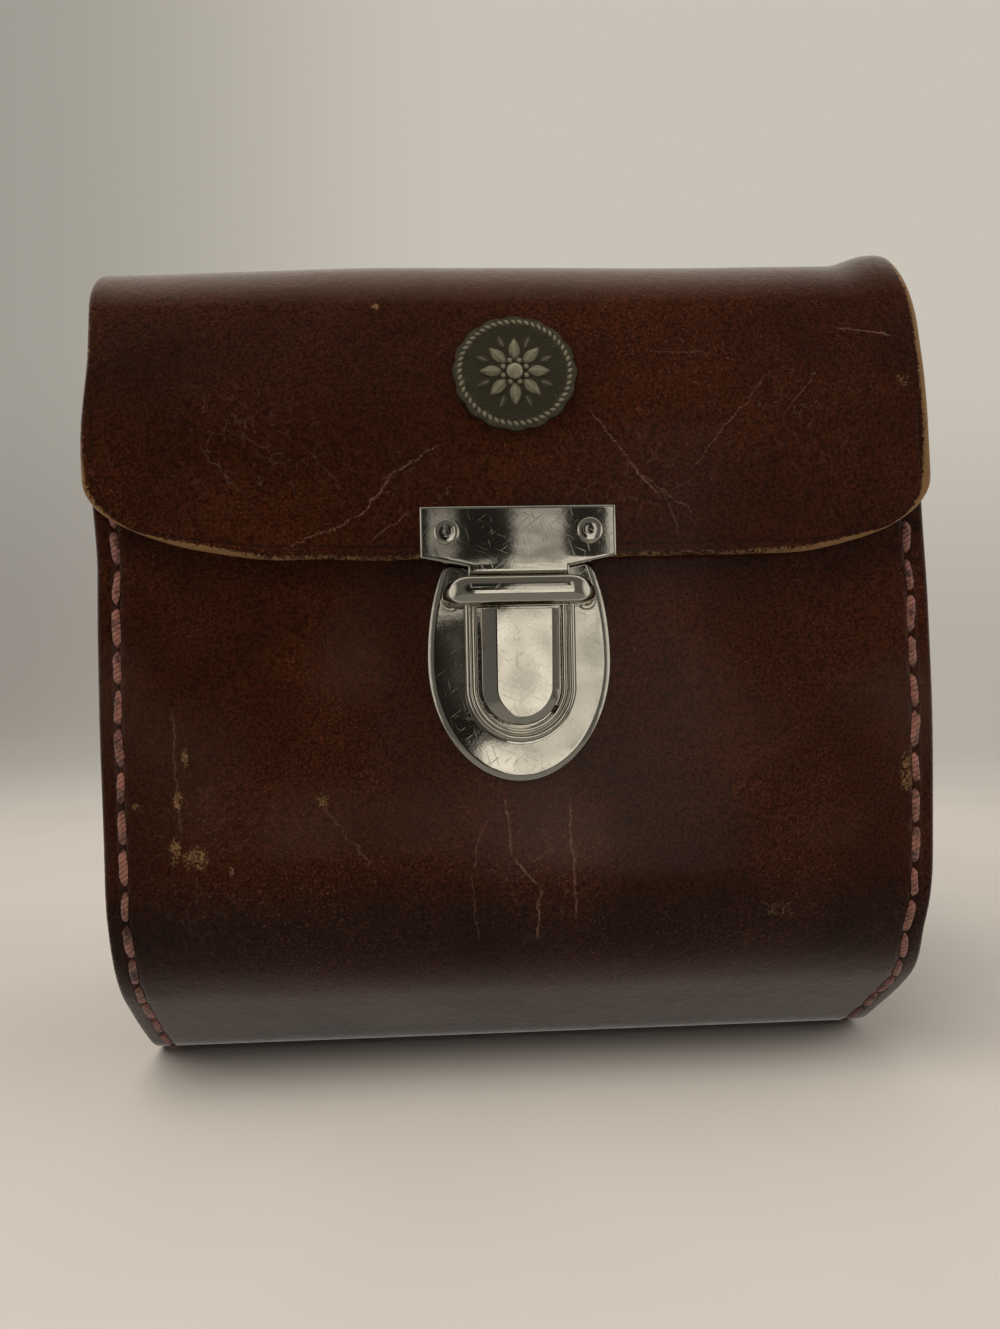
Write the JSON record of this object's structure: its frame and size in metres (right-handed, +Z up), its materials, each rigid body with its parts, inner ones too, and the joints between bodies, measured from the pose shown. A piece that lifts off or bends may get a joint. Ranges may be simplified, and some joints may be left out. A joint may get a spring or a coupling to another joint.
{
  "type": "binocular hard case",
  "caption": "Upright leather hard case with a rolled hinged lid, stitched recessed ends, a push-in metal latch on the front and a belt loop on the back.",
  "frame": {"origin": "on the standing face, under the middle of the body's width and depth", "axes": "+Z up, the front with the latch faces -Y, +X to the right of someone who looks at the front"},
  "size_m": [0.14, 0.0948, 0.1475],
  "materials": {
    "strap_leather": "dark reddish brown vegetable-tanned leather, waxed, worn and creased",
    "waxed_thread": "waxed linen thread, faded",
    "lining_cloth": "short pile cloth",
    "nickel_plate": "polished nickel plate, scratched",
    "plain_steel": "plain steel",
    "aged_pewter": "dark aged cast metal"
  },
  "bodies": {
    "case": {"body_wrap": "strap_leather", "right_gusset": "strap_leather", "left_gusset": "strap_leather", "right_seam_thread": "waxed_thread", "left_seam_thread": "waxed_thread", "body_lining": "lining_cloth", "right_gusset_lining": "lining_cloth", "left_gusset_lining": "lining_cloth", "base_plate": "nickel_plate", "staple": "nickel_plate", "latch_backing_plate": "plain_steel", "belt_loop": "strap_leather", "belt_loop_rivets": "nickel_plate", "belt_loop_washers": "plain_steel"},
    "lid": {"lid_flap": "strap_leather", "lid_lining": "lining_cloth", "hasp_plate": "nickel_plate", "hasp_rivets": "nickel_plate", "hasp_washers": "plain_steel", "tongue_back_sheet": "nickel_plate", "catch_pivot_pin": "plain_steel", "badge": "aged_pewter", "badge_keeper": "plain_steel"},
    "catch": {"thumb_catch": "nickel_plate", "catch_spring": "plain_steel"}
  },
  "joints": [
    {"name": "lid_hinge", "type": "hinge", "parent": "case", "child": "lid", "pos_m": [0, 0.04, 0.1385], "axis": [-1, 0, 0], "range_deg": [0, 120]},
    {"name": "catch_press", "type": "hinge", "parent": "lid", "child": "catch", "pos_m": [0, -0.0428, 0.0678], "axis": [-1, 0, 0], "range_deg": [0, 8], "stiffness_Nm_per_rad": 0.15, "springref_deg": -8.59}
  ]
}
